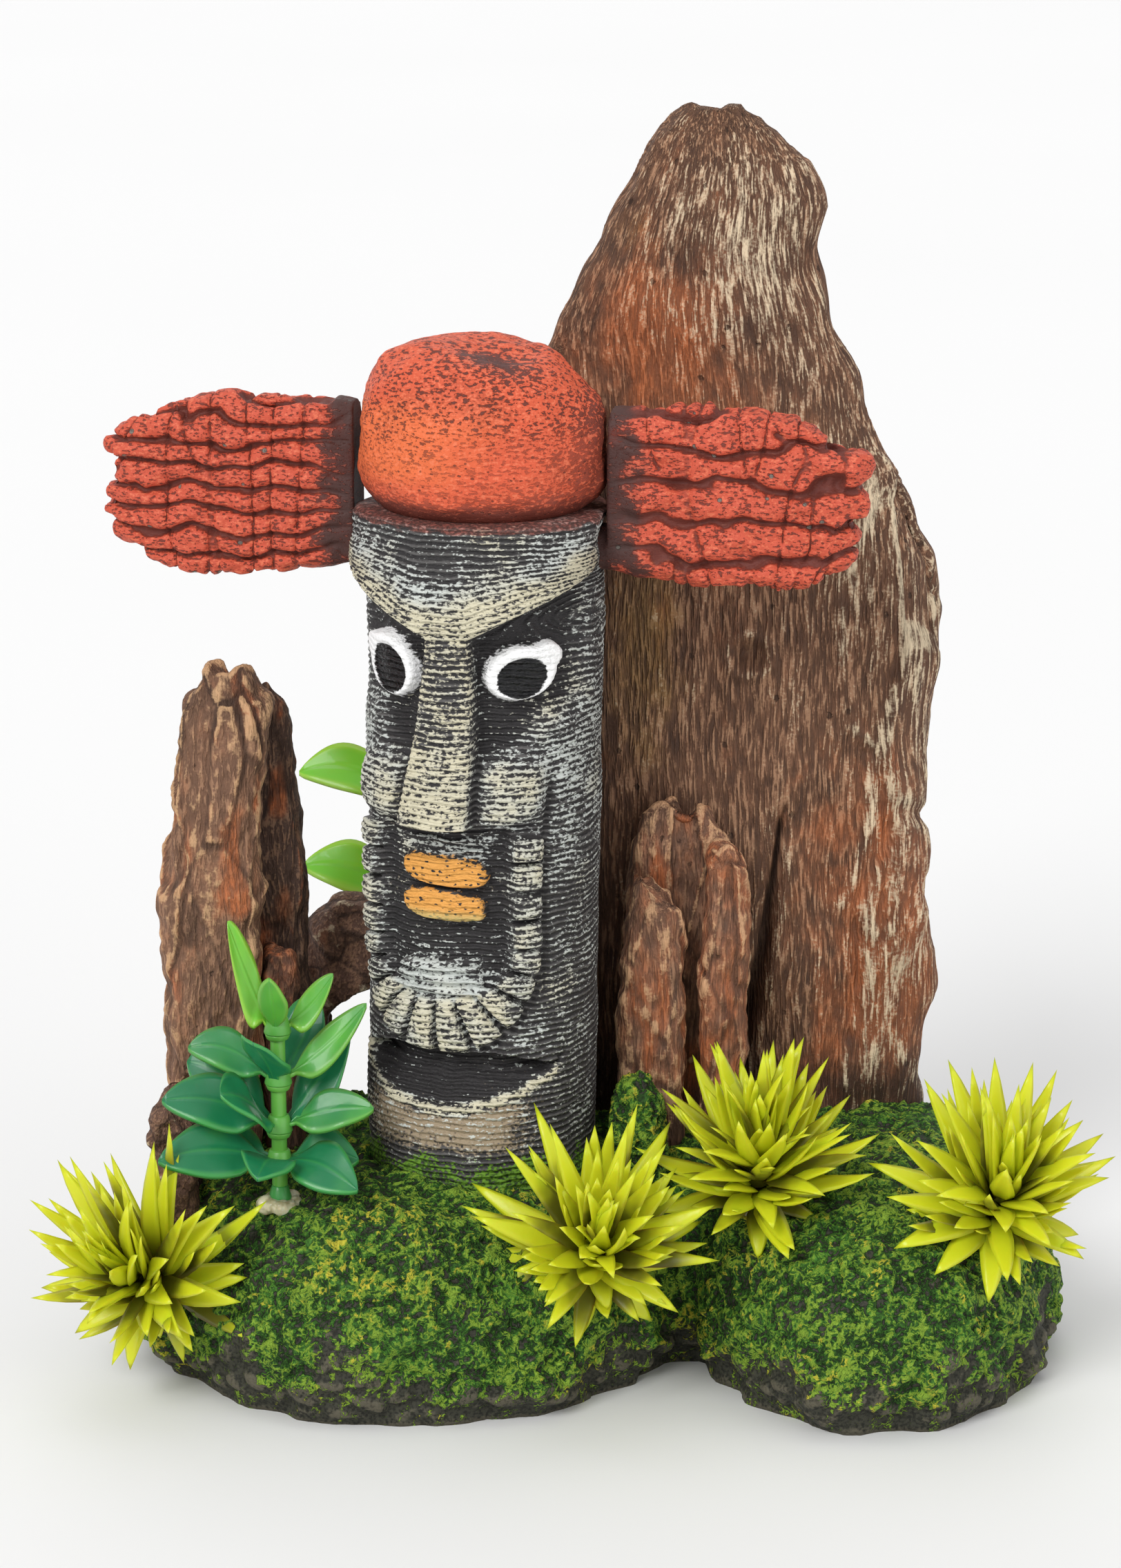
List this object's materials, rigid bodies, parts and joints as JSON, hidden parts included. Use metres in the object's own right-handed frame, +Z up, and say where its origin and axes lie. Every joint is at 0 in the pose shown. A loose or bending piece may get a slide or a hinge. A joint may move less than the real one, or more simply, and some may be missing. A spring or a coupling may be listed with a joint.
{
  "type": "tiki figure",
  "caption": "Free-standing tiki totem with carved face, red topknot and wings on a mossy rock base with driftwood and plastic plants.",
  "frame": {"origin": "on the ground under the middle of the whole ornament's box", "axes": "+Z up, the front faces -Y, +X to the viewer's right"},
  "size_m": [0.1645, 0.0943, 0.189],
  "materials": {
    "mossed_rock": "matt cast resin, dark grey-brown, mossed in dry-brushed greens and yellow",
    "totem_stone": "matt cast resin, charcoal with ivory dry-brushed grooves",
    "red_paint": "matt cast resin, coral red with dark pits and cracks",
    "driftwood": "matt cast resin with wood grain, brown with cream and orange dry brushing",
    "dark_rock": "matt cast resin, dark brown-grey broken rock",
    "broadleaf_plastic": "satin moulded plastic, mid green with lime edges",
    "rear_leaf_plastic": "satin moulded plastic, light green",
    "grass_plastic": "satin moulded plastic, yellow-green with olive roots",
    "hot_glue": "milky hot-melt glue"
  },
  "bodies": {
    "root": {"mossy_base": "mossed_rock", "totem_column": "totem_stone", "red_topknot": "red_paint", "left_wing": "red_paint", "right_wing": "red_paint", "driftwood_slab": "driftwood", "stump_crest": "driftwood", "stump_left_prong": "driftwood", "stump_right_prong": "driftwood", "left_post_front": "driftwood", "left_post_back": "driftwood", "arch_rock": "dark_rock", "arch_plank": "driftwood", "corner_rock": "dark_rock", "moss_knob": "mossed_rock", "broadleaf_stem": "broadleaf_plastic", "rear_plant_stem": "rear_leaf_plastic", "grass_left_stem": "grass_plastic", "grass_left_outer": "grass_plastic", "grass_left_inner": "grass_plastic", "grass_centre_stem": "grass_plastic", "grass_centre_outer": "grass_plastic", "grass_centre_inner": "grass_plastic", "grass_middle_stem": "grass_plastic", "grass_middle_outer": "grass_plastic", "grass_middle_inner": "grass_plastic", "grass_right_stem": "grass_plastic", "grass_right_outer": "grass_plastic", "grass_right_inner": "grass_plastic", "glue_beads": "hot_glue"},
    "broadleaf_lower": {"broadleaf_lower_whorl": "broadleaf_plastic"},
    "broadleaf_middle": {"broadleaf_middle_whorl": "broadleaf_plastic"},
    "broadleaf_upper": {"broadleaf_upper_whorl": "broadleaf_plastic"},
    "broadleaf_top": {"broadleaf_top_sprig": "broadleaf_plastic"},
    "rear_lower": {"rear_plant_lower_whorl": "rear_leaf_plastic"},
    "rear_upper": {"rear_plant_upper_whorl": "rear_leaf_plastic"}
  },
  "joints": [
    {"name": "broadleaf_lower_twist", "type": "hinge", "parent": "root", "child": "broadleaf_lower", "pos_m": [-0.043, -0.02, 0.036], "axis": [0, 0, 1], "range_deg": [-10, 10]},
    {"name": "broadleaf_middle_twist", "type": "hinge", "parent": "root", "child": "broadleaf_middle", "pos_m": [-0.043, -0.02, 0.042], "axis": [0, 0, 1], "range_deg": [-12, 12]},
    {"name": "broadleaf_upper_twist", "type": "hinge", "parent": "root", "child": "broadleaf_upper", "pos_m": [-0.043, -0.02, 0.049], "axis": [0, 0, 1], "range_deg": [-12, 12]},
    {"name": "broadleaf_top_twist", "type": "hinge", "parent": "root", "child": "broadleaf_top", "pos_m": [-0.043, -0.02, 0.057], "axis": [0, 0, 1], "range_deg": [-20, 20]},
    {"name": "rear_lower_twist", "type": "hinge", "parent": "root", "child": "rear_lower", "pos_m": [-0.024, 0.0415, 0.06], "axis": [0, 0, 1], "range_deg": [-8, 8]},
    {"name": "rear_upper_twist", "type": "hinge", "parent": "root", "child": "rear_upper", "pos_m": [-0.024, 0.0415, 0.077], "axis": [0, 0, 1], "range_deg": [-12, 12]}
  ]
}
